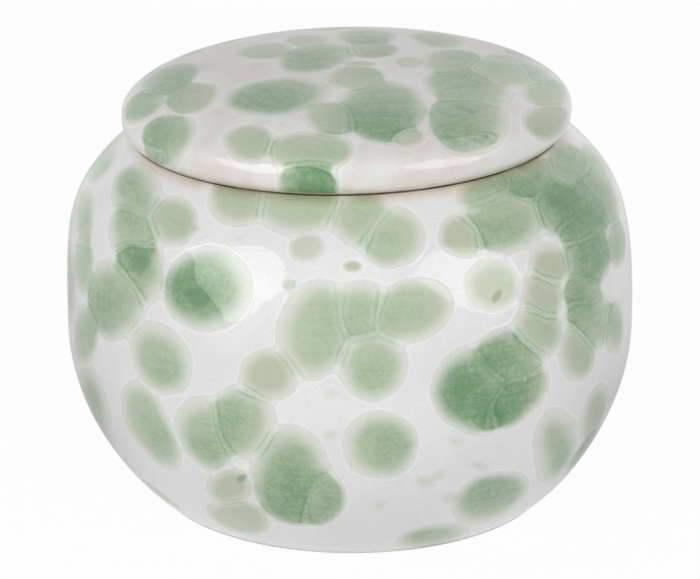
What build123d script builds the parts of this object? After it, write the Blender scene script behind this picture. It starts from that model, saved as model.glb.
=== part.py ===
"""Squat globular jar in glazed porcelain, with a low domed lid.

The jar is one fired piece: a round belly that closes in to a flat unglazed seat
round a wide mouth, and stands on a bare foot ring with a recessed underside. The
lid is the other piece: a shallow dome with a rolled edge that rests on the seat,
hollow underneath, with a locating flange that hangs inside the mouth.

Sizes are in millimetres. The origin is the centre of the foot ring, at the level
that the jar stands on, and +Z points up through the lid.
"""

import os

from build123d import *

# Belly: the widest ring and its height
belly_radius = 66.0
belly_height = 41.0

# Mouth, and the flat seat round it that the lid rests on
seat_height = 87.0
mouth_radius = 42.5
mouth_depth = 2.5
seat_width = 7.0
seat_edge_rounding = 0.5
mouth_edge_rounding = 1.0

# Foot ring, bare below the line where the glaze stops
foot_radius = 46.7
foot_ring_width = 4.0
foot_recess = 2.5
foot_recess_draft = 1.0
foot_edge_rounding = 0.5
glaze_line_height = 0.8
glaze_thickness = 0.4

# Wall and floor of the jar
wall_thickness = 4.5
floor_thickness = 5.5
floor_radius = 34.0

# Fullness of the jar's outline, as shares of the height and reach of each stretch
shoulder_rise_share = 0.64
shoulder_reach_share = 0.90
shoulder_drop_share = 0.29
belly_fall_share = 0.51
heel_reach_share = 0.28
heel_lift_share = 0.10

# Fullness of the hollow inside the jar, in the same way
hollow_rise_share = 0.64
hollow_reach_share = 0.90
hollow_drop_share = 0.29
hollow_fall_share = 0.62
hollow_heel_share = 0.50

# Lid: the rolled edge that stands out over the seat, and the dome above it
lid_overhang = 2.3
lid_edge_height = 4.9
lid_edge_rounding = 0.5
dome_rise = 11.0

# Underside of the lid: the hollow, and the flange that keeps it centred
lid_thickness = 5.0
ceiling_rounding = 3.0
flange_clearance = 0.8
flange_thickness = 3.6
flange_depth = 8.0
flange_root_rounding = 0.8
flange_tip_rounding = 1.2

# Fullness of the rolled edge and of the dome, as shares of their height and reach
edge_reach_share = 0.80
edge_low_share = 0.25
edge_high_share = 0.50
dome_rise_share = 0.69
dome_reach_share = 0.52

# Sizes that follow from those above
seat_radius = mouth_radius + seat_width
mouth_bottom = seat_height - mouth_depth
hollow_radius = belly_radius - wall_thickness
floor_height = foot_recess + floor_thickness
bare_foot_radius = foot_radius - glaze_thickness
foot_inner_radius = bare_foot_radius - foot_ring_width
foot_recess_radius = foot_inner_radius - foot_recess_draft

lid_radius = seat_radius + lid_overhang
lid_shoulder_height = seat_height + lid_edge_height
lid_top = lid_shoulder_height + dome_rise
flange_radius = mouth_radius - flange_clearance
flange_inner_radius = flange_radius - flange_thickness
flange_tip_height = seat_height - flange_depth

# How far a ring may lie from the radius and height that it is looked up by
ring_tolerance = 0.01


def between(start, end, share):
    """The length that lies at a share of the way from start to end."""
    return start + share * (end - start)


def ring(piece, radius, height):
    """The circular edge of a turned piece at this radius and height."""
    return [
        edge
        for edge in piece.edges().filter_by(GeomType.CIRCLE)
        if abs(edge.radius - radius) < ring_tolerance
        and abs(edge.arc_center.Z - height) < ring_tolerance
    ]


def dome_line(drop):
    """The dome's outline, from its shoulder to its middle, lowered by a drop."""
    shoulder_height = lid_shoulder_height - drop
    top = lid_top - drop
    return Bezier(
        (lid_radius, shoulder_height),
        (lid_radius, between(shoulder_height, top, dome_rise_share)),
        (dome_reach_share * lid_radius, top),
        (0, top),
    )


# Jar: the section of its wall, turned about the upright axis
with BuildPart() as jar_body:
    with BuildSketch(Plane.XZ):
        with BuildLine():
            # Underside and foot ring, up to where the glaze starts
            Polyline(
                (0, floor_height),
                (0, foot_recess),
                (foot_recess_radius, foot_recess),
                (foot_inner_radius, 0),
                (bare_foot_radius, 0),
                (bare_foot_radius, glaze_line_height),
                (foot_radius, glaze_line_height),
            )
            # Outside of the belly, from the foot up to its widest ring
            Bezier(
                (foot_radius, glaze_line_height),
                (
                    between(foot_radius, belly_radius, heel_reach_share),
                    between(glaze_line_height, belly_height, heel_lift_share),
                ),
                (belly_radius, between(belly_height, glaze_line_height, belly_fall_share)),
                (belly_radius, belly_height),
            )
            # Outside of the shoulder, from the widest ring up to the seat
            Bezier(
                (belly_radius, belly_height),
                (belly_radius, between(belly_height, seat_height, shoulder_rise_share)),
                (
                    between(seat_radius, belly_radius, shoulder_reach_share),
                    between(seat_height, belly_height, shoulder_drop_share),
                ),
                (seat_radius, seat_height),
            )
            # Seat and mouth
            Polyline(
                (seat_radius, seat_height),
                (mouth_radius, seat_height),
                (mouth_radius, mouth_bottom),
            )
            # Inside of the shoulder, down to the widest ring of the hollow
            Bezier(
                (mouth_radius, mouth_bottom),
                (
                    between(mouth_radius, hollow_radius, hollow_reach_share),
                    between(mouth_bottom, belly_height, hollow_drop_share),
                ),
                (hollow_radius, between(belly_height, mouth_bottom, hollow_rise_share)),
                (hollow_radius, belly_height),
            )
            # Inside of the belly, down into the flat floor
            Bezier(
                (hollow_radius, belly_height),
                (hollow_radius, between(belly_height, floor_height, hollow_fall_share)),
                (between(floor_radius, hollow_radius, hollow_heel_share), floor_height),
                (floor_radius, floor_height),
            )
            Line((floor_radius, floor_height), (0, floor_height))
        make_face()
    revolve(axis=Axis.Z)
    fillet(ring(jar_body, seat_radius, seat_height), radius=seat_edge_rounding)
    fillet(ring(jar_body, mouth_radius, seat_height), radius=mouth_edge_rounding)
    fillet(ring(jar_body, foot_inner_radius, 0), radius=foot_edge_rounding)
    fillet(ring(jar_body, bare_foot_radius, 0), radius=foot_edge_rounding)

# Lid: the section of the dome with its edge and flange, turned and then hollowed
with BuildPart() as lid:
    with BuildSketch(Plane.XZ):
        with BuildLine():
            dome_line(0)
            Polyline(
                (0, lid_top),
                (0, flange_tip_height),
                (flange_radius, flange_tip_height),
                (flange_radius, seat_height),
                (seat_radius, seat_height),
            )
            # Rolled edge, out from the seat to the foot of the dome
            Bezier(
                (seat_radius, seat_height),
                (
                    between(seat_radius, lid_radius, edge_reach_share),
                    between(seat_height, lid_shoulder_height, edge_low_share),
                ),
                (lid_radius, between(seat_height, lid_shoulder_height, edge_high_share)),
                (lid_radius, lid_shoulder_height),
            )
        make_face()
    revolve(axis=Axis.Z)

    # The hollow follows the dome at one thickness, as far out as the flange
    with BuildSketch(Plane.XZ) as lid_hollow:
        with BuildLine():
            dome_line(lid_thickness)
            Polyline(
                (0, lid_top - lid_thickness),
                (0, flange_tip_height),
                (lid_radius, flange_tip_height),
                (lid_radius, lid_shoulder_height - lid_thickness),
            )
        make_face()
        Rectangle(flange_inner_radius, lid_top, align=Align.MIN, mode=Mode.INTERSECT)
        ceiling_corner = lid_hollow.vertices().group_by(Axis.X)[-1].sort_by(Axis.Y)[-1]
        fillet(ceiling_corner, radius=ceiling_rounding)
    revolve(axis=Axis.Z, mode=Mode.SUBTRACT)

    fillet(ring(lid, seat_radius, seat_height), radius=lid_edge_rounding)
    fillet(ring(lid, flange_radius, seat_height), radius=flange_root_rounding)
    fillet(ring(lid, flange_radius, flange_tip_height), radius=flange_tip_rounding)
    fillet(ring(lid, flange_inner_radius, flange_tip_height), radius=flange_tip_rounding)

jar_body.part.label = "jar_body"
lid.part.label = "lid"

os.makedirs("parts", exist_ok=True)
export_step(jar_body.part, "parts/jar_body.step")
export_step(lid.part, "parts/lid.step")
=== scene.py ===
"""Looks of a lidded porcelain jar: white glaze with green spots that melted into it.

Both pieces are turned from the outlines of their CAD solids, bent slightly out of
true as the kiln left them, and glazed. Lengths are in metres. Places named px and
py are pixels of the 700 x 579 photograph, and so are the widths that go with them.
"""

import math
import random
from collections import namedtuple
from functools import reduce

import bmesh
import bpy
import numpy as np
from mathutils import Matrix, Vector, noise
from mathutils.bvhtree import BVHTree
from mathutils.interpolate import poly_3d_calc


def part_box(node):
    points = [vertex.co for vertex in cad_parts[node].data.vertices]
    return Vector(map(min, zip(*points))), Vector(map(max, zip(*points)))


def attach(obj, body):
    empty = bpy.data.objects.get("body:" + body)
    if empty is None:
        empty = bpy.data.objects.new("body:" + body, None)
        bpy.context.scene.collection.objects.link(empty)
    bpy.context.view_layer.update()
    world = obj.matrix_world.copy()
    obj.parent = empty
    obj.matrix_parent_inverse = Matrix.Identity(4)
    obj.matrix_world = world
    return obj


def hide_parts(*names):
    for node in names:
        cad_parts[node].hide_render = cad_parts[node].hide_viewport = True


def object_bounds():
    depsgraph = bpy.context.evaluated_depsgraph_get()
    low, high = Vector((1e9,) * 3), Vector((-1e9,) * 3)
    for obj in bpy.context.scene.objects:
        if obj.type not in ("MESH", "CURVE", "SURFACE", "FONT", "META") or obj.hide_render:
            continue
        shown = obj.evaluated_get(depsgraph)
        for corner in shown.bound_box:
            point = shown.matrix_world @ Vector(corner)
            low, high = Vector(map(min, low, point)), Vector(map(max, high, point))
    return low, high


# Camera of the photograph
IMAGE_WIDTH = 700
IMAGE_HEIGHT = 579
SENSOR_WIDTH_MM = 36.0
LENS_MM = 203.1
CAMERA_ELEVATION = math.radians(20.0)
CAMERA_DISTANCE = 0.924
CAMERA_TARGET = Vector((0, 0, 0.047))

# Turning the outlines: how finely, and what counts as one point or as a corner
WELD = 1e-6
TINY = 1e-9
CORNER = math.radians(28)
CLOSEST_RINGS = 0.00022
FINE_STEP = 0.0009
COARSE_STEP = 0.003
TURN_STEPS = 400
FACES_OUT = 0.05
SHARP_ANGLE = math.radians(38)

# Out of true: the mouth and lid lean up to the right and stand a little to the left
# of the belly, the foot stands a little to its right, and the surface undulates
LEAN = math.tan(math.radians(1.1))
LEAN_START_SHARE = 0.5
TOP_MARGIN = 0.00012
TOP_SHIFT = 0.0008
FOOT_SHIFT = 0.0005
FOOT_SHIFT_HEIGHT = 0.022
WAVE_DEPTH = 0.00004
WAVE_LENGTH = 0.021
WAVE_SEED = 3
RIPPLE_DEPTH = 0.000012
RIPPLE_LENGTH = 0.007
RIPPLE_SEED = 8

# Spots: how far their edges wander, how wide they fade, and how their green shifts
# from one side to the other; an arm that ends off the surface is measured nearer in
WANDER = 0.0007
WANDER_LENGTH = 0.009
FADE_SPREAD = (0.85, 1.15)
FLECK_FADE_SHARE = 0.6
FAINT_DEPTH = 0.22
FAINT_SOFTNESS = 2.2
SIDE_FADE = 0.3
SIDE_DEPTH = 0.15
SIDE_WARMTH = 0.3
ARM_SHARES = (1, 0.85, 0.7, 0.55, 0.4, 0.25)
MOST_STRETCH = 1.6

# Each face corner knows its nearest spots, and how far off they are up to a limit
GREEN_FIELDS = ("fade", "depth", "warmth")
CANDIDATES = 3
FAR = 0.05

# Spots of the sides that the photograph doesn't show
SEED = 5
TRIES = 20
SEEN_SLOPE = 0.12
SIGHT_TOLERANCE = 0.01
CHAIN_SHARE = 0.75
MOST_OVERLAP = 0.42
CHAIN_OVERLAP = 0.24
STRETCHES = (0.85, 1.2)
DEPTHS = (0.45, 0.5, 0.55, 0.6, 0.65, 0.7, 0.85, 0.95)
WARMTHS = (0.1, 0.6)
LOWEST_CENTRE = 0.003
RAY_START = 0.1

# Bare clay: the foot ring, and the edges of the seat and the lid that lie on it
FOOT_GLAZE = 0.0007
FOOT_INNER_SHARE = 0.63
MOUTH_SHARE = 0.655
SEAT_CLAY = 0.0003
LID_CLAY = 0.0009
# Painted shade at the seam: how far from the seat it darkens the clay, beyond what share of the
# widest radius it lies, and how far a warm tint with painted shade reaches into the glaze
SEAM_SHADE_HEIGHT = 0.0005
SEAM_SHADE_SHARE = 0.725
SEAM_TINT_AND_SHADE_WIDTH = 0.0022

# Soft light: two softboxes, left and right of the camera, and what every lamp aims at
SOFTBOX_AZIMUTH = 51
SOFTBOX_ELEVATION = math.radians(21)
SOFTBOX_DISTANCE = 0.42
SOFTBOX_RADIUS = 0.205
LIT_PLACE = Vector((0, 0, 0.05))
LEFT_POWER = 0.22
RIGHT_POWER = 0.1
LEFT_BRIGHTNESS = 3.2
RIGHT_BRIGHTNESS = 2.8
AMBIENT = 0.46

# Broad fill lights, before the jar and behind it
FRONT_POWER = 8.6
FRONT_ELEVATION = math.radians(22)
BACK_POWER = 6.0
BACK_ELEVATION = math.radians(6)
FILL_SIZE = 0.9
FILL_DISTANCE = 1.5

# Dark card behind the jar and under it, that draws the outline of the glaze
CARD_MIDDLE = -0.02
CARD_HALF_WIDTH = 0.24
CARD_CORE_SHARE = 0.4
CARD_FRONT = -0.05
CARD_FADED_IN = 0.01
CARD_BACK = 0.5
CARD_TOP = 0.5
CARD_HEIGHT = 0.0004
CARD_NEAR = 0.085
CARD_FAR = 0.14
NEAR_DARKNESS = 0.45
FAR_DARKNESS = 0.34

# Floor: wide, pale, and mostly as white as the background where it is seen
FLOOR_HALF_WIDTH = 3.0
FLOOR_COLOUR = (0.76, 0.76, 0.76, 1.0)
FLOOR_GLOW_SHARE = 0.96

Corner = namedtuple("Corner", "px py")
Spot = namedtuple("Spot", "px py size tilt depth warmth", defaults=(0, 0, 0))
Patch = namedtuple("Patch", "centre to_unit radius depth warmth fade greener")
Piece = namedtuple("Piece", "node name body spots flecks glaze_low glaze_high hidden sizes "
                   "fade_share white cool_white")

# Outlines of the softboxes, by the places where the belly mirrors their corners
LEFT_SCREEN = [
    Corner(px=188, py=250),
    Corner(px=207, py=247),
    Corner(px=236, py=246),
    Corner(px=262, py=246),
    Corner(px=277, py=254),
    Corner(px=286, py=266),
    Corner(px=285, py=288),
    Corner(px=278, py=291),
    Corner(px=273, py=299),
    Corner(px=262, py=302),
    Corner(px=257, py=311),
    Corner(px=243, py=322),
    Corner(px=226, py=328),
    Corner(px=222, py=311),
    Corner(px=197, py=283),
    Corner(px=195, py=260),
]
RIGHT_SCREEN = [
    Corner(px=412, py=276),
    Corner(px=424, py=258),
    Corner(px=440, py=248),
    Corner(px=462, py=247),
    Corner(px=485, py=248),
    Corner(px=506, py=256),
    Corner(px=519, py=270),
    Corner(px=519, py=285),
    Corner(px=513, py=305),
    Corner(px=500, py=318),
    Corner(px=489, py=316),
    Corner(px=470, py=311),
    Corner(px=455, py=305),
    Corner(px=430, py=289),
]

# Spots of the jar: centre, then half width and half height in pixels, any clockwise
# tilt in degrees, how deep the green is, and how far it turns to beige
JAR_SPOTS = [
    Spot(px=137, py=193, size=(28, 33), depth=0.68, warmth=0.2),
    Spot(px=134, py=231, size=(27, 33), depth=0.65, warmth=0.3),
    Spot(px=141, py=266, size=(26, 41), tilt=-8, depth=0.8, warmth=0.15),
    Spot(px=171, py=221, size=(28, 27), tilt=10, depth=0.5, warmth=0.5),
    Spot(px=85, py=218, size=(12, 36), tilt=5, depth=0.62),
    Spot(px=84, py=264, size=(11, 34), depth=0.62, warmth=0.1),
    Spot(px=115, py=300, size=(30, 43), depth=0.72, warmth=0.3),
    Spot(px=208, py=290, size=(47, 44), depth=0.88, warmth=0.1),
    Spot(px=85, py=335, size=(13, 33), depth=0.6, warmth=0.1),
    Spot(px=160, py=358, size=(29, 41), tilt=-28, depth=0.65, warmth=0.3),
    Spot(px=238, py=199, size=(32, 29), depth=0.55, warmth=0.5),
    Spot(px=298, py=203, size=(47, 34), depth=0.5, warmth=0.2),
    Spot(px=308, py=247, size=(20, 17), depth=0.24, warmth=0.9),
    Spot(px=352, py=265, size=(10, 7), depth=0.35, warmth=0.7),
    Spot(px=291, py=284, size=(9, 8), depth=0.24, warmth=0.3),
    Spot(px=316, py=330, size=(40, 53), tilt=12, depth=0.55, warmth=0.3),
    Spot(px=360, py=313, size=(32, 35), depth=0.6, warmth=0.2),
    Spot(px=409, py=311, size=(46, 32), tilt=-15, depth=0.55, warmth=0.35),
    Spot(px=372, py=364, size=(37, 38), depth=0.6, warmth=0.2),
    Spot(px=268, py=375, size=(31, 30), depth=0.4, warmth=0.8),
    Spot(px=361, py=219, size=(33, 31), depth=0.5, warmth=0.4),
    Spot(px=391, py=236, size=(35, 32), depth=0.5, warmth=0.3),
    Spot(px=464, py=235, size=(28, 23), depth=0.5, warmth=0.7),
    Spot(px=504, py=220, size=(42, 37), depth=0.66, warmth=0.2),
    Spot(px=487, py=190, size=(42, 21), tilt=-10, depth=0.68, warmth=0.4),
    Spot(px=529, py=181, size=(38, 28), tilt=-25, depth=0.78, warmth=0.3),
    Spot(px=570, py=172, size=(31, 34), tilt=-40, depth=0.7, warmth=0.2),
    Spot(px=106, py=158, size=(15, 34), tilt=36, depth=0.72, warmth=0.1),
    Spot(px=598, py=163, size=(15, 30), tilt=-40, depth=0.72, warmth=0.1),
    Spot(px=560, py=206, size=(30, 34), tilt=-30, depth=0.92, warmth=0.15),
    Spot(px=583, py=227, size=(28, 31), depth=0.9, warmth=0.15),
    Spot(px=586, py=256, size=(26, 37), depth=0.9, warmth=0.1),
    Spot(px=592, py=192, size=(24, 44), tilt=-32, depth=0.82),
    Spot(px=617, py=243, size=(10, 27), depth=0.85, warmth=0.1),
    Spot(px=549, py=265, size=(21, 24), depth=0.52, warmth=0.65),
    Spot(px=542, py=296, size=(23, 29), depth=0.52, warmth=0.6),
    Spot(px=538, py=331, size=(26, 32), depth=0.55, warmth=0.4),
    Spot(px=583, py=292, size=(21, 27), depth=0.76, warmth=0.25),
    Spot(px=590, py=318, size=(24, 35), depth=0.72, warmth=0.15),
    Spot(px=577, py=351, size=(20, 33), depth=0.6, warmth=0.45),
    Spot(px=613, py=327, size=(12, 30), depth=0.75, warmth=0.3),
    Spot(px=491, py=285, size=(29, 29), depth=0.42, warmth=0.5),
    Spot(px=151, py=426, size=(22, 52), tilt=-29, depth=0.6, warmth=0.3),
    Spot(px=99, py=408, size=(12, 46), tilt=-21, depth=0.7),
    Spot(px=207, py=434, size=(29, 41), tilt=-23, depth=0.65, warmth=0.25),
    Spot(px=240, py=423, size=(37, 38), tilt=-15, depth=0.65, warmth=0.2),
    Spot(px=292, py=478, size=(43, 51), tilt=-12, depth=0.78, warmth=0.1),
    Spot(px=316, py=499, size=(32, 28), depth=0.7, warmth=0.35),
    Spot(px=230, py=487, size=(26, 19), tilt=8, depth=0.4, warmth=0.8),
    Spot(px=240, py=516, size=(34, 17), tilt=14, depth=0.4, warmth=0.7),
    Spot(px=380, py=445, size=(39, 35), depth=0.65, warmth=0.3),
    Spot(px=474, py=390, size=(44, 46), depth=0.92, warmth=0.1),
    Spot(px=508, py=362, size=(38, 36), depth=0.8, warmth=0.15),
    Spot(px=511, py=397, size=(46, 27), tilt=-35, depth=0.9, warmth=0.1),
    Spot(px=554, py=446, size=(22, 39), tilt=14, depth=0.74, warmth=0.3),
    Spot(px=594, py=411, size=(11, 30), tilt=20, depth=0.55, warmth=0.35),
    Spot(px=490, py=497, size=(43, 23), tilt=-25, depth=0.78, warmth=0.3),
    Spot(px=432, py=537, size=(38, 14), tilt=-10, depth=0.75, warmth=0.4),
    Spot(px=240, py=239, size=(8, 6), depth=0.15, warmth=0.6),
    Spot(px=196, py=229, size=(6, 6), depth=0.16, warmth=0.7),
    Spot(px=330, py=393, size=(11, 9), depth=0.16, warmth=0.6),
    Spot(px=330, py=434, size=(12, 9), depth=0.17, warmth=0.6),
    Spot(px=455, py=442, size=(12, 9), depth=0.19, warmth=0.6),
    Spot(px=424, py=481, size=(16, 11), depth=0.2, warmth=0.6),
    Spot(px=441, py=475, size=(11, 8), tilt=-20, depth=0.2, warmth=0.5),
    Spot(px=480, py=467, size=(12, 8), depth=0.18, warmth=0.6),
    Spot(px=450, py=497, size=(11, 8), tilt=-30, depth=0.18, warmth=0.6),
    Spot(px=380, py=503, size=(12, 8), tilt=-20, depth=0.2, warmth=0.6),
]

# Spots of the lid, in the same way
LID_SPOTS = [
    Spot(px=278, py=96, size=(57, 21), tilt=-6, depth=0.88, warmth=0.15),
    Spot(px=145, py=108, size=(27, 18), tilt=-40, depth=0.8, warmth=0.1),
    Spot(px=169, py=81, size=(36, 18), tilt=-22, depth=0.75),
    Spot(px=192, py=98, size=(31, 16), tilt=-15, depth=0.7, warmth=0.5),
    Spot(px=171, py=139, size=(30, 25), tilt=-42, depth=0.72, warmth=0.2),
    Spot(px=158, py=153, size=(14, 16), depth=0.7, warmth=0.4),
    Spot(px=251, py=143, size=(29, 20), depth=0.5, warmth=0.5),
    Spot(px=309, py=152, size=(47, 23), depth=0.5, warmth=0.3),
    Spot(px=308, py=187, size=(33, 34), depth=0.85, warmth=0.1),
    Spot(px=333, py=119, size=(32, 19), depth=0.72, warmth=0.5),
    Spot(px=382, py=110, size=(47, 33), depth=0.85, warmth=0.2),
    Spot(px=356, py=78, size=(33, 13), depth=0.62, warmth=0.5),
    Spot(px=407, py=137, size=(19, 11), depth=0.5, warmth=0.9),
    Spot(px=466, py=119, size=(43, 33), depth=0.72, warmth=0.15),
    Spot(px=468, py=88, size=(48, 22), tilt=9, depth=0.7, warmth=0.2),
    Spot(px=452, py=61, size=(34, 13), depth=0.62, warmth=0.3),
    Spot(px=317, py=58, size=(43, 15), tilt=-8, depth=0.76, warmth=0.2),
    Spot(px=265, py=51, size=(31, 9), tilt=-5, depth=0.7, warmth=0.7),
    Spot(px=365, py=37, size=(34, 9), depth=0.75),
    Spot(px=372, py=50, size=(30, 9), depth=0.65, warmth=0.3),
    Spot(px=360, py=64, size=(18, 4), depth=0.35, warmth=0.7),
    Spot(px=307, py=41, size=(24, 7), depth=0.5, warmth=0.6),
    Spot(px=440, py=40, size=(31, 10), tilt=5, depth=0.66, warmth=0.1),
    Spot(px=410, py=62, size=(15, 6), depth=0.25, warmth=0.8),
    Spot(px=503, py=74, size=(38, 14), tilt=8, depth=0.55, warmth=0.4),
    Spot(px=505, py=60, size=(25, 6), tilt=8, depth=0.4, warmth=0.5),
    Spot(px=546, py=93, size=(26, 17), tilt=12, depth=0.65, warmth=0.4),
    Spot(px=545, py=122, size=(26, 21), depth=0.66, warmth=0.7),
    Spot(px=468, py=138, size=(30, 15), depth=0.7, warmth=0.2),
    Spot(px=533, py=74, size=(25, 10), tilt=22, depth=0.6, warmth=0.2),
    Spot(px=220, py=113, size=(9, 5), depth=0.15, warmth=0.7),
    Spot(px=262, py=122, size=(13, 4), tilt=-5, depth=0.15, warmth=0.6),
    Spot(px=283, py=124, size=(7, 4), depth=0.14, warmth=0.6),
    Spot(px=258, py=65, size=(8, 4), depth=0.14, warmth=0.6),
    Spot(px=205, py=65, size=(8, 4), tilt=-20, depth=0.14, warmth=0.6),
    Spot(px=349, py=190, size=(9, 5), depth=0.18, warmth=0.4),
    Spot(px=410, py=36, size=(8, 3), depth=0.14, warmth=0.5),
]

# Darker and lighter flecks: half sizes in pixels, tilt, then how dark (or, below
# zero, how white) they are, and how far they turn to beige
JAR_FLECKS = [
    Spot(px=140, py=262, size=(13, 14), depth=0.55),
    Spot(px=199, py=296, size=(17, 14), tilt=15, depth=0.65),
    Spot(px=192, py=278, size=(10, 14), tilt=10, depth=0.35, warmth=0.2),
    Spot(px=559, py=201, size=(16, 10), tilt=30, depth=0.45),
    Spot(px=497, py=296, size=(5, 11), tilt=32, depth=0.9, warmth=1.0),
    Spot(px=297, py=284, size=(3, 3), depth=-0.9),
    Spot(px=242, py=478, size=(7, 5), tilt=-30, depth=0.6),
    Spot(px=245, py=466, size=(5, 4), depth=-0.8),
    Spot(px=492, py=402, size=(2, 7), tilt=25, depth=0.6, warmth=0.1),
    Spot(px=505, py=389, size=(11, 2), tilt=-31, depth=0.6, warmth=0.1),
    Spot(px=524, py=379, size=(3, 3), depth=-0.4),
    Spot(px=536, py=372, size=(10, 2), tilt=-28, depth=0.5, warmth=0.1),
    Spot(px=498, py=496, size=(10, 2), tilt=-74, depth=0.45, warmth=0.1),
]
LID_FLECKS = [
    Spot(px=466, py=110, size=(25, 4), tilt=17, depth=0.5, warmth=0.1),
    Spot(px=307, py=186, size=(18, 6), depth=0.5),
]


def camera_axes():
    """Where the camera stands, and its forward, right and up directions."""
    back = Vector((0, -math.cos(CAMERA_ELEVATION), math.sin(CAMERA_ELEVATION)))
    right = Vector((1, 0, 0))
    return CAMERA_TARGET + CAMERA_DISTANCE * back, -back, right, back.cross(right)


def photo_ray(px, py):
    """The direction in which the camera sees a pixel of the photograph."""
    _, forward, right, up = camera_axes()
    focal = IMAGE_WIDTH * LENS_MM / SENSOR_WIDTH_MM
    across = (px - IMAGE_WIDTH / 2) / focal
    down = (py - IMAGE_HEIGHT / 2) / focal
    return (forward + across * right - down * up).normalized()


def section(node):
    """The outline of a turned node, as (radius, height) points from axis to axis."""
    solid = bmesh.new()
    solid.from_mesh(node.data)
    bmesh.ops.remove_doubles(solid, verts=solid.verts, dist=WELD)
    whole = solid.verts[:] + solid.edges[:] + solid.faces[:]
    cut = bmesh.ops.bisect_plane(solid, geom=whole, dist=WELD, plane_no=(0, 1, 0))
    links = {}
    for edge in cut["geom_cut"]:
        if isinstance(edge, bmesh.types.BMEdge) and min(v.co.x for v in edge.verts) > -WELD:
            a, b = edge.verts
            links.setdefault(a, []).append(b)
            links.setdefault(b, []).append(a)
    ends = [v for v in links if len(links[v]) == 1]
    walk = [min(ends, key=lambda v: v.co.z)]
    left = set(links) - set(walk)
    while left & set(links[walk[-1]]):
        walk.append((left & set(links[walk[-1]])).pop())
        left.discard(walk[-1])
    points = [(v.co.x, v.co.z) for v in walk]
    solid.free()
    for place, (radius, height) in ((0, points[0]), (len(points), points[-1])):
        if radius > WELD:
            points.insert(place + (place > 0), (0.0, height))
    return np.array(points)


def unit(rows):
    """Rows scaled to length one."""
    return rows / np.maximum(np.linalg.norm(rows, axis=-1, keepdims=True), TINY)


def corners(points):
    """Which points of an outline are corners rather than parts of a curve."""
    chords = unit(np.diff(points, axis=0))
    turns = np.arccos(np.clip((chords[1:] * chords[:-1]).sum(1), -1, 1))
    return np.concatenate([[True], turns > CORNER, [True]])


def thinned(points, corner):
    """The outline without points that lie closer together than the rings may."""
    keep = [0]
    for i in range(1, len(points)):
        far = np.linalg.norm(points[i] - points[keep[-1]]) >= CLOSEST_RINGS
        if corner[i] and not far and not corner[keep[-1]]:
            keep.pop()
        if corner[i] or far:
            keep.append(i)
    return points[keep], corner[keep]


def smooth_outline(points, seat_height):
    """The outline as rings in even steps, with its facets rounded off and its corners kept."""
    points, corner = thinned(points, corners(points))
    chords = unit(np.diff(points, axis=0))
    lengths = np.linalg.norm(np.diff(points, axis=0), axis=1)
    through = np.zeros_like(points)
    through[1:-1] = unit(points[2:] - points[:-2])
    rings = [points[0]]
    for i, length in enumerate(lengths):
        start = chords[i] if corner[i] else through[i]
        end = chords[i] if corner[i + 1] else through[i + 1]
        if i == 0:
            start = np.array((1.0, 0.0))
        if i == len(lengths) - 1:
            end = np.array((-1.0, 0.0))
        out = np.array((chords[i][1], -chords[i][0]))
        above = points[i][1] > seat_height - WELD
        fine = out[0] > FACES_OUT or (out[1] > 0 and above)
        steps = math.ceil(length / (FINE_STEP if fine else COARSE_STEP))
        for t in np.arange(1, steps + 1) / steps:
            rings.append(
                (2 * t**3 - 3 * t**2 + 1) * points[i]
                + (t**3 - 2 * t**2 + t) * length * start
                + (3 * t**2 - 2 * t**3) * points[i + 1]
                + (t**3 - t**2) * length * end
            )
    return np.array(rings)


def turned_mesh(name, rings):
    """A closed mesh turned about the upright axis, with one vertex at each pole."""
    angles = np.arange(TURN_STEPS) * 2 * math.pi / TURN_STEPS
    round_rings = rings[1:-1]
    radius, height = round_rings[:, :1], round_rings[:, 1:]
    x = radius * np.cos(angles)
    y = radius * np.sin(angles)
    z = np.broadcast_to(height, x.shape)
    places = np.stack([x, y, z], axis=-1).reshape(-1, 3)
    poles = [(0, 0, rings[0][1]), (0, 0, rings[-1][1])]
    places = np.vstack([places, poles])
    first_pole, last_pole = len(places) - 2, len(places) - 1

    here = np.arange(TURN_STEPS)
    following = np.roll(here, -1)
    quads = [
        np.stack([row + here, row + following, row + TURN_STEPS + following,
                  row + TURN_STEPS + here], axis=1)
        for row in TURN_STEPS * np.arange(len(round_rings) - 1)
    ]
    last_row = TURN_STEPS * (len(round_rings) - 1)
    faces = np.vstack(quads).tolist()
    neighbours = list(zip(here.tolist(), following.tolist()))
    faces += [(first_pole, b, a) for a, b in neighbours]
    faces += [(last_pole, last_row + a, last_row + b) for a, b in neighbours]

    mesh = bpy.data.meshes.new(name)
    mesh.from_pydata(places.tolist(), [], faces)
    mesh.shade_smooth()
    mesh.set_sharp_from_angle(angle=SHARP_ANGLE)
    return mesh


def step_up(value, low, high):
    """Smooth rise from 0 at low to 1 at high."""
    t = np.clip((value - low) / (high - low), 0, 1)
    return t * t * (3 - 2 * t)


def vertex_rows(mesh, name):
    """The places or the normals of the vertices, as rows of x, y and z."""
    flat = np.zeros(len(mesh.vertices) * 3, np.float32)
    mesh.vertices.foreach_get(name, flat)
    return flat.reshape(-1, 3).astype(float)


def noise_at(places, length, seed):
    """Smooth noise about zero at each place, that changes over this length."""
    shift = Vector((seed, 0, 0))
    return np.array([noise.noise(Vector(p) / length + shift) for p in places])


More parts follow.
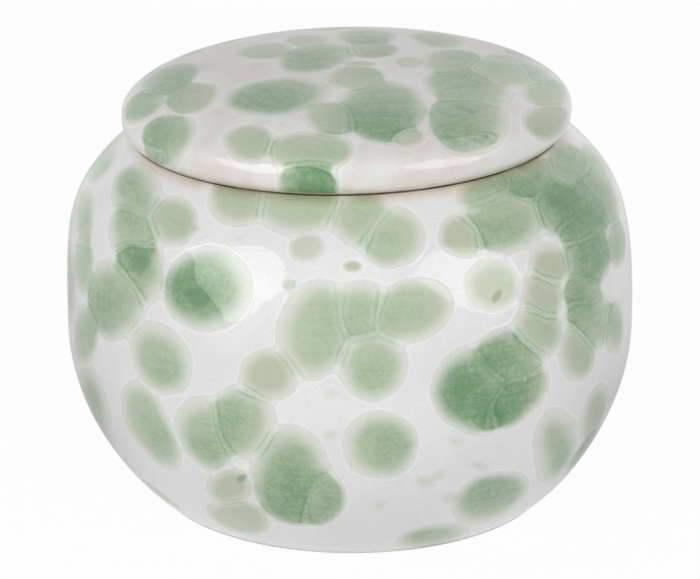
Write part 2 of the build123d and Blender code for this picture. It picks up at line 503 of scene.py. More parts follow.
def bend_out_of_true(mesh, rest_height, seat_height, top_height):
    """Leans the upper part up to the right and lets the surface undulate inwards."""
    places = vertex_rows(mesh, "co")
    normals = vertex_rows(mesh, "normal")
    start = rest_height + LEAN_START_SHARE * (seat_height - rest_height)
    lean = step_up(places[:, 2], start, seat_height)
    low = 1 - step_up(places[:, 2], rest_height, rest_height + FOOT_SHIFT_HEIGHT)
    above = np.clip(places[:, 2] - seat_height, 0, None) / (top_height - seat_height)
    above_foot = step_up(places[:, 2], rest_height, rest_height + WAVE_LENGTH)
    waves = WAVE_DEPTH * (noise_at(places, WAVE_LENGTH, WAVE_SEED) - 1)
    waves += RIPPLE_DEPTH * (noise_at(places, RIPPLE_LENGTH, RIPPLE_SEED) - 1)
    places += normals * (waves * above_foot)[:, None]
    places[:, 2] += LEAN * places[:, 0] * lean - TOP_MARGIN * above
    places[:, 2] = np.maximum(places[:, 2], rest_height)
    places[:, 0] += FOOT_SHIFT * low - TOP_SHIFT * lean
    mesh.vertices.foreach_set("co", places.astype(np.float32).ravel())
    mesh.update()


def reach(surface, centre, spot, across, down):
    """Where an arm of a spot ends on the surface, for an offset in pixels."""
    eye = camera_axes()[0]
    for share in ARM_SHARES:
        ray = photo_ray(spot.px + share * across, spot.py + share * down)
        hit, normal, _, _ = surface.ray_cast(eye, ray)
        if hit and normal.dot(ray) < 0:
            return centre + (hit - centre) / share
    return None


def photo_patch(surface, spot, fade_share, rng):
    """A spot of the photograph as a patch on the surface."""
    eye = camera_axes()[0]
    centre = surface.ray_cast(eye, photo_ray(spot.px, spot.py))[0]
    if centre is None:
        raise ValueError(f"no surface behind {spot}")
    tilt = math.radians(spot.tilt)
    arms = []
    middle = Vector((0, 0, 0))
    width, height = spot.size
    for across, down in (
        (width * math.cos(tilt), width * math.sin(tilt)),
        (-height * math.sin(tilt), height * math.cos(tilt)),
    ):
        one = reach(surface, centre, spot, across, down)
        other = reach(surface, centre, spot, -across, -down)
        one = one or 2 * centre - other
        other = other or 2 * centre - one
        arms.append((one - other) / 2)
        middle += (one + other) / 4
    longest = MOST_STRETCH * min(arm.length for arm in arms)
    arms = [arm * min(1, longest / arm.length) for arm in arms]
    return patch(middle, *arms, spot.depth, spot.warmth, fade_share, rng)


def patch(centre, arm, other_arm, depth, warmth, fade_share, rng):
    """An elliptical patch of glaze with its centre and its two arms."""
    radius = (arm.length + other_arm.length) / 2
    shorter = min(arm.length, other_arm.length)
    normal = arm.cross(other_arm).normalized() * radius
    to_unit = np.linalg.inv(np.array([arm, other_arm, normal]).T)
    turn = rng.uniform(0, 2 * math.pi)
    greener = np.array((math.cos(turn), math.sin(turn), 0))
    fade = shorter * fade_share * rng.uniform(*FADE_SPREAD)
    if abs(depth) < FAINT_DEPTH:
        fade *= FAINT_SOFTNESS
    return Patch(np.array(centre), to_unit, radius, depth, warmth, fade, greener)


def is_seen(surface, point, normal):
    """Whether the photograph shows this point of the surface."""
    eye = camera_axes()[0]
    sight = (point - eye).normalized()
    if -sight.dot(normal) < SEEN_SLOPE:
        return False
    hit = surface.ray_cast(eye, sight)[0]
    return hit is not None and (hit - point).length < WELD + SIGHT_TOLERANCE * (point - eye).length


def hidden_patch(surface, low, high, piece, patches, rng):
    """A patch on a side that the photograph doesn't show, most often by another patch."""
    chained = rng.random() < CHAIN_SHARE
    best = None
    for _ in range(TRIES):
        angle = rng.uniform(0, 2 * math.pi)
        height = rng.uniform(low, high)
        radius = rng.triangular(*piece.sizes)
        outward = Vector((math.cos(angle), math.sin(angle), 0))
        start = RAY_START * outward + Vector((0, 0, height))
        centre, normal = surface.ray_cast(start, -outward)[:2]
        if centre is None:
            continue
        across = Vector((-math.sin(angle), math.cos(angle), 0))
        rise = normal.cross(across)
        rim = [centre, centre + radius * across, centre - radius * across,
               centre + radius * rise, centre - radius * rise]
        if any(is_seen(surface, point, normal) for point in rim):
            continue
        gaps = [(centre - Vector(p.centre)).length - radius - p.radius for p in patches]
        overlap = -min(gaps) / radius
        if overlap > MOST_OVERLAP:
            continue
        score = -abs(overlap - CHAIN_OVERLAP) if chained else -overlap
        if best is None or score > best[0]:
            best = (score, centre, radius, across, rise)
    if best is None:
        return None
    _, centre, radius, across, rise = best
    turn = rng.uniform(0, math.pi)
    stretch = rng.uniform(*STRETCHES)
    arm = radius * stretch * (math.cos(turn) * across + math.sin(turn) * rise)
    other = radius / stretch * (math.cos(turn) * rise - math.sin(turn) * across)
    depth = rng.choice(DEPTHS)
    return patch(centre, arm, other, depth, rng.uniform(*WARMTHS), piece.fade_share, rng)


def corner_attribute(mesh, name, rows):
    """Stores one vector per face corner."""
    attribute = mesh.attributes.new(name, "FLOAT_VECTOR", "CORNER")
    attribute.data.foreach_set("vector", rows.astype(np.float32).ravel())


def distances(patches, places):
    """How far each place lies outside each patch, and how far on its greener side."""
    edges = np.zeros((len(patches), len(places)), np.float32)
    sides = np.zeros_like(edges)
    for i, p in enumerate(patches):
        inner = (places - p.centre) @ p.to_unit.T
        size = np.linalg.norm(inner, axis=1)
        slope = np.linalg.norm(inner @ p.to_unit, axis=1)
        edges[i] = np.clip(size * (size - 1) / np.maximum(slope, TINY), -FAR, FAR)
        sides[i] = np.clip(inner @ p.greener, -1, 1)
    return edges, sides


def face_corners(mesh):
    """The vertex of each face corner, and the face that the corner belongs to."""
    vertex = np.zeros(len(mesh.loops), np.int32)
    mesh.loops.foreach_get("vertex_index", vertex)
    totals = np.zeros(len(mesh.polygons), np.int32)
    mesh.polygons.foreach_get("loop_total", totals)
    return vertex, np.repeat(np.arange(len(totals)), totals)


def nearest_patches(mesh, edges, count):
    """The patches nearest to each face, one row per face corner, and its vertices."""
    vertex, face = face_corners(mesh)
    sums = np.array([np.bincount(face, row[vertex], len(mesh.polygons)) for row in edges])
    nearest = np.argpartition(sums, count - 1, axis=0)[:count]
    return nearest[:, face].T, vertex


def of_chosen(patches, field, chosen):
    """A field of the patches, for those chosen at each face corner."""
    return np.array([getattr(p, field) for p in patches])[chosen]


def store_patches(mesh, patches, spotted):
    """Stores, at each face corner, what the glaze needs of the three nearest patches."""
    places = vertex_rows(mesh, "co")
    wander = np.array([noise.noise_vector(Vector(p) / WANDER_LENGTH) for p in places])
    edges, sides = distances(patches, places + WANDER * wander)
    edges[:, ~spotted] = FAR
    chosen, vertex = nearest_patches(mesh, edges, CANDIDATES)
    side = sides[chosen, vertex[:, None]]
    fade, depth, warmth = [of_chosen(patches, field, chosen) for field in GREEN_FIELDS]
    corner_attribute(mesh, "spot_edge", edges[chosen, vertex[:, None]])
    corner_attribute(mesh, "spot_fade", fade * (1 - SIDE_FADE * side))
    corner_attribute(mesh, "spot_depth", depth * (1 + SIDE_DEPTH * side))
    corner_attribute(mesh, "spot_warmth", warmth - SIDE_WARMTH * side)


def store_flecks(mesh, flecks):
    """Stores where the nearest fleck ends, in fades, how dark it is and how beige."""
    edges, _ = distances(flecks, vertex_rows(mesh, "co"))
    chosen, vertex = nearest_patches(mesh, edges, 1)
    chosen = chosen[:, 0]
    fade, depth, warmth = [of_chosen(flecks, field, chosen) for field in GREEN_FIELDS]
    corner_attribute(mesh, "fleck", np.stack([edges[chosen, vertex] / fade, depth, warmth], axis=1))


class Shading:
    """Short calls that add nodes to a material or a world and return their outputs."""

    def __init__(self, owner):
        owner.use_nodes = True
        self.nodes = owner.node_tree.nodes
        self.links = owner.node_tree.links

    def feed(self, socket, value):
        """Links a socket to another's output, or sets it to a value."""
        if isinstance(value, bpy.types.NodeSocket):
            self.links.new(value, socket)
        else:
            socket.default_value = value

    def node(self, kind, values, **settings):
        """A new node with these settings, whose first inputs take these values."""
        made = self.nodes.new(kind)
        for name, setting in settings.items():
            setattr(made, name, setting)
        for socket, value in zip(made.inputs, values):
            self.feed(socket, value)
        return made

    def math(self, operation, *values):
        return self.node("ShaderNodeMath", values, operation=operation).outputs[0]

    def chained(self, operation, values):
        """The operation on the first two values, then on its result and the next."""
        return reduce(lambda result, value: self.math(operation, result, value), values)

    def product(self, *factors):
        return self.chained("MULTIPLY", factors)

    def total(self, *terms):
        return self.chained("ADD", terms)

    def minus(self, value, amount):
        return self.math("SUBTRACT", value, amount)

    def rest(self, share):
        """What a share leaves of 1."""
        return self.minus(1.0, share)

    def hypotenuse(self, x, y):
        return self.math("SQRT", self.total(self.product(x, x), self.product(y, y)))

    def dot(self, a, b):
        return self.node("ShaderNodeVectorMath", (a, b), operation="DOT_PRODUCT").outputs["Value"]

    def rise(self, value, low, high, start=0.0, end=1.0):
        """Smooth change from start to end while the value goes from low to high."""
        values = (value, low, high, start, end)
        node = self.node("ShaderNodeMapRange", values, interpolation_type="SMOOTHSTEP")
        return node.outputs["Result"]

    def fall(self, value, low, high):
        """Smooth change from 1 to 0 while the value goes from low to high."""
        return self.rise(value, low, high, 1.0, 0.0)

    def attribute(self, name):
        node = self.nodes.new("ShaderNodeAttribute")
        node.attribute_name = name
        return node.outputs["Vector"]

    def place(self):
        """The place in the object's own coordinates."""
        return self.nodes.new("ShaderNodeTexCoord").outputs["Object"]

    def separate(self, vector):
        return tuple(self.node("ShaderNodeSeparateXYZ", (vector,)).outputs)

    def combine(self, x, y, z):
        return self.node("ShaderNodeCombineXYZ", (x, y, z)).outputs[0]

    def mix(self, amount, colour, other, blend_type="MIX"):
        node = self.nodes.new("ShaderNodeMix")
        node.data_type = "RGBA"
        node.blend_type = blend_type
        for name, value in (("Factor", amount), ("A", colour), ("B", other)):
            self.feed(node.inputs[name], value)
        return node.outputs["Result"]

    def tinted(self, colour, tint):
        return self.mix(1.0, colour, tint, "MULTIPLY")

    def noise(self, length, detail=2.0, roughness=0.5):
        """Noise about 0.5, that changes over this length."""
        return self.noise_at(self.place(), 1 / length, detail, roughness)

    def noise_at(self, place, scale, detail, roughness):
        node = self.nodes.new("ShaderNodeTexNoise")
        for name, value in (
            ("Vector", place), ("Scale", scale), ("Detail", detail), ("Roughness", roughness)
        ):
            self.feed(node.inputs[name], value)
        return node.outputs["Fac"]

    def streaks(self, width, run):
        """Noise about 0.5, in strokes of this width and run that go round the piece."""
        x, y, z = self.separate(self.place())
        climb = self.minus(self.product(z, 2.0), self.hypotenuse(x, y))
        lengths = ((x, run), (y, run), (climb, width))
        stretched = [self.math("DIVIDE", value, length) for value, length in lengths]
        return self.noise_at(self.combine(*stretched), 1.0, 2.0, 0.5)

    def bump(self, height, distance, strength):
        node = self.nodes.new("ShaderNodeBump")
        for name, value in (("Strength", strength), ("Distance", distance), ("Height", height)):
            self.feed(node.inputs[name], value)
        return node.outputs["Normal"]

    def emission(self, strength):
        node = self.nodes.new("ShaderNodeEmission")
        self.feed(node.inputs["Strength"], strength)
        return node.outputs[0]

    def blend(self, share, shader, other):
        """One shader where the share is 0, and the other where it is 1."""
        return self.node("ShaderNodeMixShader", (share, shader, other)).outputs[0]

    def show(self, shader):
        """Lets the material or the world look as this shader says."""
        output = self.nodes.get("Material Output") or self.nodes["World Output"]
        self.feed(output.inputs["Surface"], shader)

    def seen_directly(self):
        """1 for rays from the camera, a mirror or glass, and 0 for rays that carry light."""
        rays = self.nodes.new("ShaderNodeLightPath").outputs
        names = ("Is Camera Ray", "Is Glossy Ray", "Is Transmission Ray")
        return self.chained("MAXIMUM", [rays[name] for name in names])


def srgb(red, green, blue):
    """A colour given by its 0 to 255 screen values, as the linear values that shaders take."""
    linear = []
    for level in (red, green, blue):
        share = level / 255
        linear.append(share / 12.92 if share <= 0.04045 else ((share + 0.055) / 1.055) ** 2.4)
    return (*linear, 1.0)


WHITE = (1.0, 1.0, 1.0, 1.0)
WHITE_GLAZE = srgb(231, 231, 231)
COOL_GLAZE = srgb(227, 227, 228)
LID_WHITE = srgb(228, 227, 225)
LID_PINK = srgb(222, 212, 209)
RIM_WHITE = srgb(240, 241, 240)
HALO = srgb(221, 223, 217)
WARM_HALO = srgb(222, 220, 212)
OUTLINE = srgb(203, 209, 200)
JOIN_PALE = srgb(208, 218, 203)
JOIN_TINT = srgb(212, 236, 212)
PALE_CORE = srgb(186, 200, 172)
DEEP_CORE = srgb(91, 141, 91)
WARM_CORE = srgb(184, 190, 168)
FLECK = srgb(84, 128, 84)
WARM_FLECK = srgb(150, 152, 122)
CLAY = srgb(222, 206, 190)
DARK_CLAY = srgb(204, 184, 164)
# Painted shade for the dark line in the seam between the jar and the lid
PAINTED_SEAM_SHADE = srgb(82, 76, 54)
# Warm tint with painted shade for the glaze beside the seam
SEAM_TINT_AND_SHADE = srgb(238, 225, 206)

# Noise lies about 0.5, and most of it within these stretches
NARROW = (0.3, 0.7)
WIDE = (0.2, 0.8)

# Lengths over which the glaze and the clay change
WOBBLE_LENGTH = 0.005
WAVER_LENGTH = 0.0035
CLOUD_LENGTH = 0.016
MOTTLE_LENGTH = 0.0035
CRYSTAL_LENGTH = 0.0009
SPECK_LENGTH = 0.0005
STROKE_WIDTH = 0.0016
STROKE_RUN = 0.012
SEAM_LENGTH = 0.011
TINT_AND_SHADE_LENGTH = 0.006
SEAM_SHADE_LENGTH = 0.02
CLAY_LENGTH = 0.0015
DULLNESS_LENGTH = 0.0006
GRIT_LENGTH = 0.0004
GRIT_RELIEF = 0.0001

# Edge of a cell: how far inside it each part of the glaze comes or goes
EDGE_WOBBLE = 0.0002
HALO_COMES = (-0.0002, 0.0007)
RIM_COMES = (-0.0005, -0.0001)
RIM_GOES = (0.0, 0.0002)
OUTLINE_COMES = (0.0001, 0.0003)
OUTLINE_GOES = (0.0003, 0.0008)
SINKS = (-0.0002, 0.0006)

# Border of two cells: how far from it, and how far inside the cells, each part lies
WAVER = 0.0004
GAP_WIDTH = 0.0001
WIDE_GAP = 0.0003
GAP_NARROWS = 0.002
GAP_GOES = (0.0004, 0.0016)
GAP_EDGE = 0.00025
PALE_BY_GAP = 0.0006
JOIN_WIDTH = 0.0024
JOIN_GAIN = 0.001
JOIN_COMES = (0.0003, 0.002)
PALE_BORDER = (0.0003, 0.0022)
PALE_BORDER_SHARE = 0.3
SEAM_COMES = (0.0006, 0.0022)
FLANK_COMES = (0.0001, 0.0004)
FLANK_GOES = (0.0004, 0.0011)
RIDGE_WIDTH = 0.00032
MERGING = 0.0038
CELL_BLEND = 0.0016
RELIEF = 0.00004

# Depths of green between which a stain becomes a cell, a cell fills, and is a deep one
CELL_DEPTHS = (0.18, 0.32)
FILLED_DEPTH = 0.4
DEEP_CELLS = (0.5, 0.8)

Cells = namedtuple("Cells", "inside border both presence depth warmth fade sunk_in wobble")


def picked(s, vector, masks):
    """The component of a vector that belongs to the patch chosen by the masks."""
    return s.dot(s.combine(*masks), vector)


def read_cells(s):
    """What the three nearest patches make of a point of the glaze."""
    edges = s.separate(s.attribute("spot_edge"))
    first = s.chained("MINIMUM", edges)
    last = s.chained("MAXIMUM", edges)
    second = s.minus(s.minus(s.total(*edges), first), last)
    nearest = [s.math("COMPARE", edge, first, WELD) for edge in edges]
    following = [s.math("COMPARE", edge, second, WELD) for edge in edges]
    depths = s.attribute("spot_depth")
    presence = s.rise(picked(s, depths, nearest), *CELL_DEPTHS)
    both = s.product(presence, s.rise(picked(s, depths, following), *CELL_DEPTHS))

    # How deep the point lies in its group of cells, and how far from the next cell
    wobble = s.rise(s.noise(WOBBLE_LENGTH), *WIDE, -EDGE_WOBBLE, EDGE_WOBBLE)
    merging = s.total(s.product(both, MERGING), WELD)
    inside = s.minus(wobble, s.math("SMOOTH_MIN", first, second, merging))
    waver = s.rise(s.noise(WAVER_LENGTH), *WIDE, 0.0, WAVER)
    border = s.math("ABSOLUTE", s.minus(s.product(s.minus(second, first), 0.5), waver))

    # The depth, warmth and fade that prevail here, and how deep the point lies in each cell
    weights = s.combine(*[s.fall(s.minus(edge, first), 0.0, CELL_BLEND) for edge in edges])
    weight = s.dot(weights, (1.0, 1.0, 1.0))
    depth, warmth, fade = [
        s.math("DIVIDE", s.dot(weights, vector), weight)
        for vector in (depths, s.attribute("spot_warmth"), s.attribute("spot_fade"))
    ]
    sunk_in = s.total(*[s.math("MAXIMUM", s.product(edge, -1.0), 0.0) for edge in edges])
    return Cells(inside, border, both, presence, depth, warmth, fade, sunk_in, wobble)


def with_ground(s, colour, cells, gap, rim):
    """Adds the pale ground of a cell, with a thin outline and a white rim outside it."""
    halo = s.mix(s.rise(cells.warmth, 0.2, 0.8), HALO, WARM_HALO)
    filled = s.product(s.rise(cells.inside, *HALO_COMES), s.rest(gap))
    colour = s.mix(s.product(filled, cells.presence), colour, halo)
    colour = s.mix(s.product(rim, 0.35), colour, RIM_WHITE)
    outline = s.product(s.rise(cells.inside, *OUTLINE_COMES), s.fall(cells.inside, *OUTLINE_GOES))
    return s.mix(s.product(outline, cells.presence, 0.3), colour, OUTLINE)


def green_density(s, cells):
    """How deep the green is: more so in the middle of a cell, mottled and streaked."""
    deepening = s.rise(s.math("DIVIDE", cells.sunk_in, cells.fade), 0.5, 2.2, 0.86, 1.05)
    mottle = s.rise(s.noise(MOTTLE_LENGTH, detail=3.0, roughness=0.6), *NARROW, 0.92, 1.06)
    crystal = s.rise(s.noise(CRYSTAL_LENGTH, roughness=0.6), *NARROW, 0.93, 1.07)
    strokes = s.rise(s.streaks(STROKE_WIDTH, STROKE_RUN), *NARROW, 0.95, 1.04)
    return s.product(cells.depth, deepening, mottle, crystal, strokes)


def with_green(s, colour, cells, density, by_gap):
    """Adds the green core of a cell, beige where it is warm, that fades to the edge."""
    deep = s.rise(cells.depth, *DEEP_CELLS)
    near = s.rise(cells.border, 0.0, JOIN_WIDTH, JOIN_GAIN, 0.0)
    joined = s.product(near, s.rise(cells.inside, *JOIN_COMES), cells.both, deep)
    amount = s.rise(s.total(cells.sunk_in, cells.wobble, joined), 0.0, cells.fade)
    pale = s.rise(cells.border, *PALE_BORDER, PALE_BORDER_SHARE, 0.0)
    paler = s.product(pale, cells.both, s.rest(deep))
    filled = s.rise(cells.depth, 0.0, FILLED_DEPTH)
    core = s.mix(s.rise(density, 0.3, 1.1), PALE_CORE, DEEP_CORE)
    core = s.mix(s.rise(cells.warmth, 0.1, 0.9, 0.0, 0.85), core, WARM_CORE)
    return s.mix(s.product(amount, filled, s.rest(paler), s.rest(by_gap)), colour, core)


def with_seams(s, colour, cells, density, met, ridge):
    """Adds, where two cells meet, a pale line between two of fresher green."""
    flank = s.product(s.rise(cells.border, *FLANK_COMES), s.fall(cells.border, *FLANK_GOES))
    colour = s.mix(s.product(flank, met), colour, s.tinted(colour, JOIN_TINT))
    return s.mix(s.product(ridge, s.rise(density, 0.45, 0.9, 0.42, 0.12)), colour, JOIN_PALE)


def with_flecks(s, colour):
    """Adds the flecks, darker or whiter than what lies round them."""
    edge, tone, warmth = s.separate(s.attribute("fleck"))
    fleck = s.mix(warmth, FLECK, WARM_FLECK)
    fleck = s.mix(s.math("LESS_THAN", tone, 0.0), fleck, RIM_WHITE)
    return s.mix(s.product(s.fall(edge, -1.0, 0.1), s.math("ABSOLUTE", tone)), colour, fleck)


def glaze_material(name, white, cool_white):
    """Glossy white glaze with cells of green, each paler towards its edge."""
    material = bpy.data.materials.new(name)
    s = Shading(material)
    cells = read_cells(s)

    # Two cells leave a white gap near the outer end of their border, and a line inside it
    widening = s.rise(cells.inside, 0.0, GAP_NARROWS, WIDE_GAP, GAP_WIDTH)
    beyond_gap = s.minus(cells.border, widening)
    outer_end = s.product(s.fall(cells.inside, *GAP_GOES), cells.both)
    gap = s.product(s.fall(beyond_gap, 0.0, GAP_EDGE), outer_end)
    by_gap = s.product(s.fall(beyond_gap, 0.0, PALE_BY_GAP), outer_end)
    patchy = s.rise(s.noise(SEAM_LENGTH), 0.38, 0.58, 0.35, 1.0)
    met = s.product(cells.both, s.rise(cells.inside, *SEAM_COMES), patchy)
    ridge = s.product(s.fall(cells.border, 0.0, RIDGE_WIDTH), met)
    rim = s.product(s.rise(cells.inside, *RIM_COMES), s.fall(cells.inside, *RIM_GOES), cells.presence)

    # The white varies, the cells lie in it, and beside the seam it takes a warm tint with painted
    # shade
    density = green_density(s, cells)
    colour = s.mix(s.rise(s.noise(CLOUD_LENGTH), 0.4, 0.62), white, cool_white)
    colour = with_ground(s, colour, cells, gap, rim)
    colour = with_green(s, colour, cells, density, by_gap)
    colour = with_seams(s, colour, cells, density, met, ridge)
    colour = with_flecks(s, colour)
    # Painted shade with a warm tint on the glaze just above and below the seam
    tint_and_shade = s.separate(s.attribute("seam"))[1]
    tint_and_shade_amount = s.product(tint_and_shade, s.rise(s.noise(TINT_AND_SHADE_LENGTH), 0.3, 0.65, 0.45, 1.0))
    colour = s.mix(tint_and_shade_amount, colour, s.tinted(colour, SEAM_TINT_AND_SHADE))
    speck = s.rise(s.noise(SPECK_LENGTH, detail=1.0), *NARROW, 0.975, 1.025)

    # Each cell lies slightly sunk in the glaze, behind a low rim
    depth_in = s.math("MINIMUM", cells.inside, s.total(beyond_gap, s.rest(outer_end)))
    raised = s.total(s.product(rim, 0.5), s.product(ridge, 0.4))
    relief = s.total(s.product(s.fall(depth_in, *SINKS), cells.presence), raised)
    normal = s.bump(relief, RELIEF, 1.0)

    shader = s.nodes["Principled BSDF"].inputs
    s.feed(shader["Base Color"], s.tinted(colour, s.combine(speck, speck, speck)))
    s.feed(shader["Normal"], normal)
    s.feed(shader["Coat Normal"], normal)
    shader["Roughness"].default_value = 0.35
    shader["Specular IOR Level"].default_value = 0.2
    shader["Coat Weight"].default_value = 1.0
    shader["Coat Roughness"].default_value = 0.02
    shader["Coat IOR"].default_value = 1.55
    return material


def clay_material():
    """Bare fired clay where the glaze was wiped off, with painted shade darkening it along the seam.
    """
    material = bpy.data.materials.new("bare_clay")
    s = Shading(material)
    colour = s.mix(s.rise(s.noise(CLAY_LENGTH, detail=4.0), 0.35, 0.65), CLAY, DARK_CLAY)
    # Painted shade: the clay darkens in the seam between the jar and the lid
    seam_shade = s.separate(s.attribute("seam"))[0]
    seam_shaded = s.product(seam_shade, s.rise(s.noise(SEAM_SHADE_LENGTH), 0.35, 0.6, 0.6, 1.0))
    shader = s.nodes["Principled BSDF"].inputs
    s.feed(shader["Base Color"], s.mix(seam_shaded, colour, PAINTED_SEAM_SHADE))
    s.feed(shader["Roughness"], s.rise(s.noise(DULLNESS_LENGTH), *NARROW, 0.75, 0.95))
    s.feed(shader["Normal"], s.bump(s.noise(GRIT_LENGTH, detail=3.0), GRIT_RELIEF, 0.3))
    return material


def placed(name, data):
    """A new object of the scene that shows this data."""
    made = bpy.data.objects.new(name, data)
    bpy.context.scene.collection.objects.link(made)
    return made


def flat_object(name, places, faces, material):
    """A new object of the scene, made of flat faces of one material."""
    mesh = bpy.data.meshes.new(name)
    mesh.from_pydata(places, [], faces)
    mesh.materials.append(material)
    return placed(name, mesh)


def aim(made, place, direction):
    """Puts a camera or a lamp in its place and turns it in this direction."""
    made.location = place
    made.rotation_mode = "QUATERNION"
    made.rotation_quaternion = direction.to_track_quat("-Z", "Y")


def add_camera():
    """The camera of the photograph."""
    place, forward, _, _ = camera_axes()
    data = bpy.data.cameras.new("photo_camera")
    data.lens = LENS_MM
    data.sensor_width = SENSOR_WIDTH_MM
    camera = placed("photo_camera", data)
    aim(camera, place, forward)
    bpy.context.scene.camera = camera


def add_lamp(name, size, power, place):
    """A round lamp aimed at the jar, that neither the camera nor a mirror shows."""
    light = bpy.data.lights.new(name, "AREA")
    light.shape = "DISK"
    light.size = size
    light.energy = power
    lamp = placed(name, light)
    aim(lamp, place, LIT_PLACE - place)
    lamp.visible_camera = False
    lamp.visible_glossy = False


def only_mirrored(made):
    """Hides an object from all but the mirroring glaze."""
    made.visible_camera = False
    made.visible_diffuse = False
    made.visible_shadow = False


def softbox_place(azimuth):
    """Where a softbox stands, for an angle to the right of the camera in degrees."""
    turn = math.radians(azimuth)
    flat = SOFTBOX_DISTANCE * math.cos(SOFTBOX_ELEVATION)
    rise = SOFTBOX_DISTANCE * math.sin(SOFTBOX_ELEVATION)
    return LIT_PLACE + Vector((flat * math.sin(turn), -flat * math.cos(turn), rise))


def mirrored_ray(piece, surface, corner):
    """Where the camera's ray through a pixel meets the glaze, and where it goes on to."""
    ray = photo_ray(corner.px, corner.py)
    hit = surface.ray_cast(camera_axes()[0], ray)[0]
    face = piece.closest_point_on_mesh(hit)[3]
    vertices = [piece.data.vertices[v] for v in piece.data.polygons[face].vertices]
    weights = poly_3d_calc([v.co for v in vertices], hit)
    normal = sum((w * v.normal for w, v in zip(weights, vertices)), Vector()).normalized()
    return hit, ray.reflect(normal)


def add_softbox(name, azimuth, power, brightness, outline, piece, surface):
    """A lamp for the soft light, and a bright screen that only the glaze mirrors."""
    place = softbox_place(azimuth)
    add_lamp(name, 2 * SOFTBOX_RADIUS, power, place)
    facing = (LIT_PLACE - place).normalized()
    rim = []
    for corner in outline:
        start, onward = mirrored_ray(piece, surface, corner)
        rim.append(start + onward * (place - start).dot(facing) / onward.dot(facing))
    material = bpy.data.materials.new(name + "_screen")
    s = Shading(material)
    s.show(s.emission(brightness))
    screen = flat_object(name + "_screen", rim, [tuple(range(len(rim)))], material)
    only_mirrored(screen)


def add_fill_light(name, side, elevation, power):
    """A broad soft lamp, before the jar where the side is -1 and behind it where it is 1."""
    away = Vector((0, side * math.cos(elevation), math.sin(elevation)))
    add_lamp(name, FILL_SIZE, power, LIT_PLACE + FILL_DISTANCE * away)


def add_dark_card():
    """A card that bends up behind the jar, dark in its middle, that only the glaze mirrors."""
    left, right = CARD_MIDDLE - CARD_HALF_WIDTH, CARD_MIDDLE + CARD_HALF_WIDTH
    rim = [(left, CARD_FRONT, CARD_HEIGHT), (right, CARD_FRONT, CARD_HEIGHT),
           (right, CARD_BACK, CARD_HEIGHT), (left, CARD_BACK, CARD_HEIGHT),
           (right, CARD_BACK, CARD_TOP), (left, CARD_BACK, CARD_TOP)]
    material = bpy.data.materials.new("dark_card")
    s = Shading(material)
    x, y, z = s.separate(s.place())
    off_middle = s.math("ABSOLUTE", s.minus(x, CARD_MIDDLE))
    across = s.fall(off_middle, CARD_CORE_SHARE * CARD_HALF_WIDTH, CARD_HALF_WIDTH)
    along = s.rise(y, CARD_FRONT, CARD_FADED_IN)
    upward = s.fall(z, CARD_CORE_SHARE * CARD_TOP, CARD_TOP)
    depth = s.rise(s.hypotenuse(x, y), CARD_NEAR, CARD_FAR, NEAR_DARKNESS, FAR_DARKNESS)
    s.show(s.emission(s.rest(s.product(across, along, upward, depth))))
    card = flat_object("dark_card", rim, [(0, 1, 2, 3), (3, 2, 4, 5)], material)
    only_mirrored(card)


def add_world(ambient):
    """White where it is seen, and a plain soft light everywhere else."""
    world = bpy.data.worlds.new("studio")
    s = Shading(world)
    light = s.nodes["Background"]
    seen = s.nodes.new("ShaderNodeBackground")
    for background, strength in ((light, ambient), (seen, 1.0)):
        background.inputs["Color"].default_value = WHITE
        background.inputs["Strength"].default_value = strength
    s.show(s.blend(s.seen_directly(), light.outputs[0], seen.outputs[0]))
    bpy.context.scene.world = world


def add_floor():
    """A plain white floor that keeps the jar's shadow."""
    half = FLOOR_HALF_WIDTH
    rim = [(-half, -half, 0.0), (half, -half, 0.0), (half, half, 0.0), (-half, half, 0.0)]
    material = bpy.data.materials.new("floor_white")
    s = Shading(material)
    shader = s.nodes["Principled BSDF"]
    shader.inputs["Base Color"].default_value = FLOOR_COLOUR
    shader.inputs["Roughness"].default_value = 0.9
    shader.inputs["Specular IOR Level"].default_value = 0.1
    share = s.product(s.seen_directly(), FLOOR_GLOW_SHARE)
    s.show(s.blend(share, shader.outputs[0], s.emission(1.0)))
    floor = flat_object("floor", rim, [(0, 1, 2, 3)], material)


def outer_rings(rings, low, high):
    """Which rings lie on the glazed outside, from the low level past the widest to the high."""
    widest = int(np.argmax(rings[:, 0]))
    under = np.flatnonzero(rings[:widest, 1] <= low)
    over = np.flatnonzero(rings[widest:, 1] >= high)
    end = widest + over[0] if len(over) else len(rings)
    return (np.arange(len(rings)) > under[-1]) & (np.arange(len(rings)) < end)


def per_vertex(of_rings):
    """A value of each ring as one value per vertex of the turned mesh."""
    turned = np.repeat(of_rings[1:-1], TURN_STEPS)
    return np.concatenate([turned, of_rings[:1], of_rings[-1:]])


def outer_surface(mesh, outside):
    """The faces of the mesh whose vertices all lie outside, for rays to meet."""
    faces = [face.vertices for face in mesh.polygons if all(outside[v] for v in face.vertices)]
    return BVHTree.FromPolygons([v.co for v in mesh.vertices], faces)


def lay_clay(mesh, bare, seam_shade, tint_and_shade):
    """Gives the faces whose vertices are all bare the second material, and stores the painted shade
    and tint of the seam.
    """
    vertex, face = face_corners(mesh)
    corner_attribute(mesh, "seam", np.stack([seam_shade, tint_and_shade, 0 * seam_shade], axis=1)[vertex])
    share = np.bincount(face, bare[vertex]) / np.bincount(face)
    mesh.polygons.foreach_set("material_index", (share == 1).astype(np.int32))


def bare_rings(rings, seat_height, widest):
    """Which rings are bare clay: those of the foot, and those beside the seam."""
    radius, height = rings[:, 0], rings[:, 1]
    foot = (height < FOOT_GLAZE) & (radius > FOOT_INNER_SHARE * widest)
    beside_seam = (height > seat_height - SEAT_CLAY) & (height < seat_height + LID_CLAY)
    return foot | beside_seam & (radius > MOUTH_SHARE * widest)


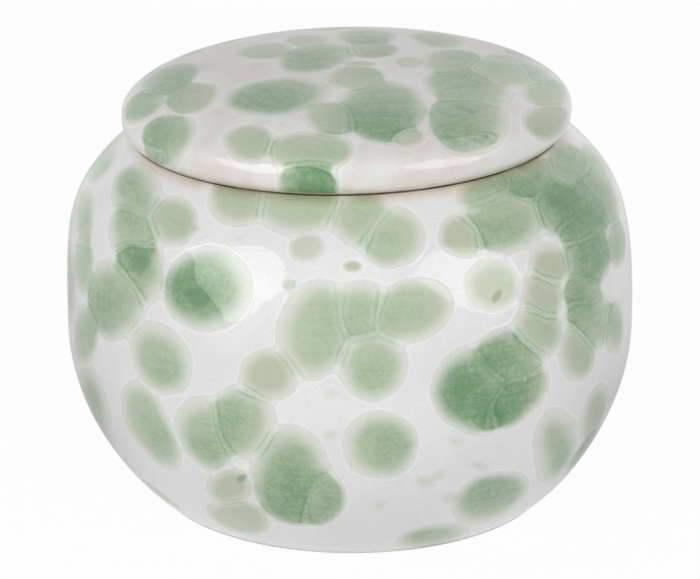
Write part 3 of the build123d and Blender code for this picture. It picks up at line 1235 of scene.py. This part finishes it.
def seam_marks(rings, seat_height, widest):
    """How darkly painted shade darkens the clay at each ring, and how far a warm tint with painted
    shade reaches into the glaze.
    """
    beyond = rings[:, 0] > SEAM_SHADE_SHARE * widest
    off_seam = abs(rings[:, 1] - seat_height)
    seam_shade = beyond * (off_seam < SEAM_SHADE_HEIGHT).astype(float)
    return seam_shade, beyond * (1 - step_up(off_seam, SEAM_SHADE_HEIGHT, SEAM_TINT_AND_SHADE_WIDTH))


def lay_spots(mesh, surface, piece, top, spotted, rng):
    """Stores what the glaze needs of a piece's spots, shown and hidden, and its flecks."""
    patches = [photo_patch(surface, spot, piece.fade_share, rng) for spot in piece.spots]
    lowest = piece.glaze_low + LOWEST_CENTRE
    for _ in range(piece.hidden):
        made = hidden_patch(surface, lowest, top, piece, patches, rng)
        if made:
            patches.append(made)
    store_patches(mesh, patches, spotted)
    flecks = [photo_patch(surface, fleck, FLECK_FADE_SHARE, rng) for fleck in piece.flecks]
    store_flecks(mesh, flecks)


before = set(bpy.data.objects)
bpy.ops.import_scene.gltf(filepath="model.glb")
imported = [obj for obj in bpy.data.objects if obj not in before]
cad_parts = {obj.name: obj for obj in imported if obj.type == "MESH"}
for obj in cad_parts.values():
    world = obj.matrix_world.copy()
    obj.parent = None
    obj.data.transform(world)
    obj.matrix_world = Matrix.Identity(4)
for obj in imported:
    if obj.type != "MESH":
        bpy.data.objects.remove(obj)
cad_low, cad_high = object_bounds()
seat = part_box("jar_body")[1].z
body_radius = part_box("jar_body")[1].x

rng = random.Random(SEED)
noise.seed_set(SEED)
clay = clay_material()
objects = {}
surfaces = {}
for piece in (
    Piece(node="jar_body", name="glazed_jar", body="jar", spots=JAR_SPOTS, flecks=JAR_FLECKS,
          glaze_low=FOOT_GLAZE, glaze_high=seat - SEAT_CLAY, hidden=80, sizes=(0.0045, 0.0135, 0.009),
          fade_share=0.5, white=WHITE_GLAZE, cool_white=COOL_GLAZE),
    Piece(node="lid", name="glazed_lid", body="lid", spots=LID_SPOTS, flecks=LID_FLECKS,
          glaze_low=seat + LID_CLAY, glaze_high=math.inf, hidden=20, sizes=(0.003, 0.010, 0.006),
          fade_share=0.36, white=LID_WHITE, cool_white=LID_PINK),
):
    rings = smooth_outline(section(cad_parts[piece.node]), seat)
    outside = per_vertex(outer_rings(rings, piece.glaze_low, piece.glaze_high))
    bare = per_vertex(bare_rings(rings, seat, body_radius))
    seam_shade, tint_and_shade = seam_marks(rings, seat, body_radius)
    mesh = turned_mesh(piece.name, rings)
    bend_out_of_true(mesh, 0.0, seat, cad_high.z)
    made = placed(piece.name, mesh)
    bpy.context.view_layer.update()
    surface = outer_surface(mesh, outside)
    top = min(piece.glaze_high, float(rings[:, 1].max()))
    lay_spots(mesh, surface, piece, top, outside | bare, rng)
    mesh.materials.append(glaze_material(piece.name, piece.white, piece.cool_white))
    mesh.materials.append(clay)
    lay_clay(mesh, bare, per_vertex(seam_shade), per_vertex(tint_and_shade))
    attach(made, piece.body)
    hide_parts(piece.node)
    objects[piece.body] = made
    surfaces[piece.body] = surface

add_camera()
add_floor()
add_world(AMBIENT)
for name, azimuth, power, brightness, outline in (
    ("left_softbox", -SOFTBOX_AZIMUTH, LEFT_POWER, LEFT_BRIGHTNESS, LEFT_SCREEN),
    ("right_softbox", SOFTBOX_AZIMUTH, RIGHT_POWER, RIGHT_BRIGHTNESS, RIGHT_SCREEN),
):
    add_softbox(name, azimuth, power, brightness, outline, objects["jar"], surfaces["jar"])
add_fill_light("front_fill", -1, FRONT_ELEVATION, FRONT_POWER)
add_fill_light("back_fill", 1, BACK_ELEVATION, BACK_POWER)
add_dark_card()
bpy.context.scene.view_settings.view_transform = "Standard"
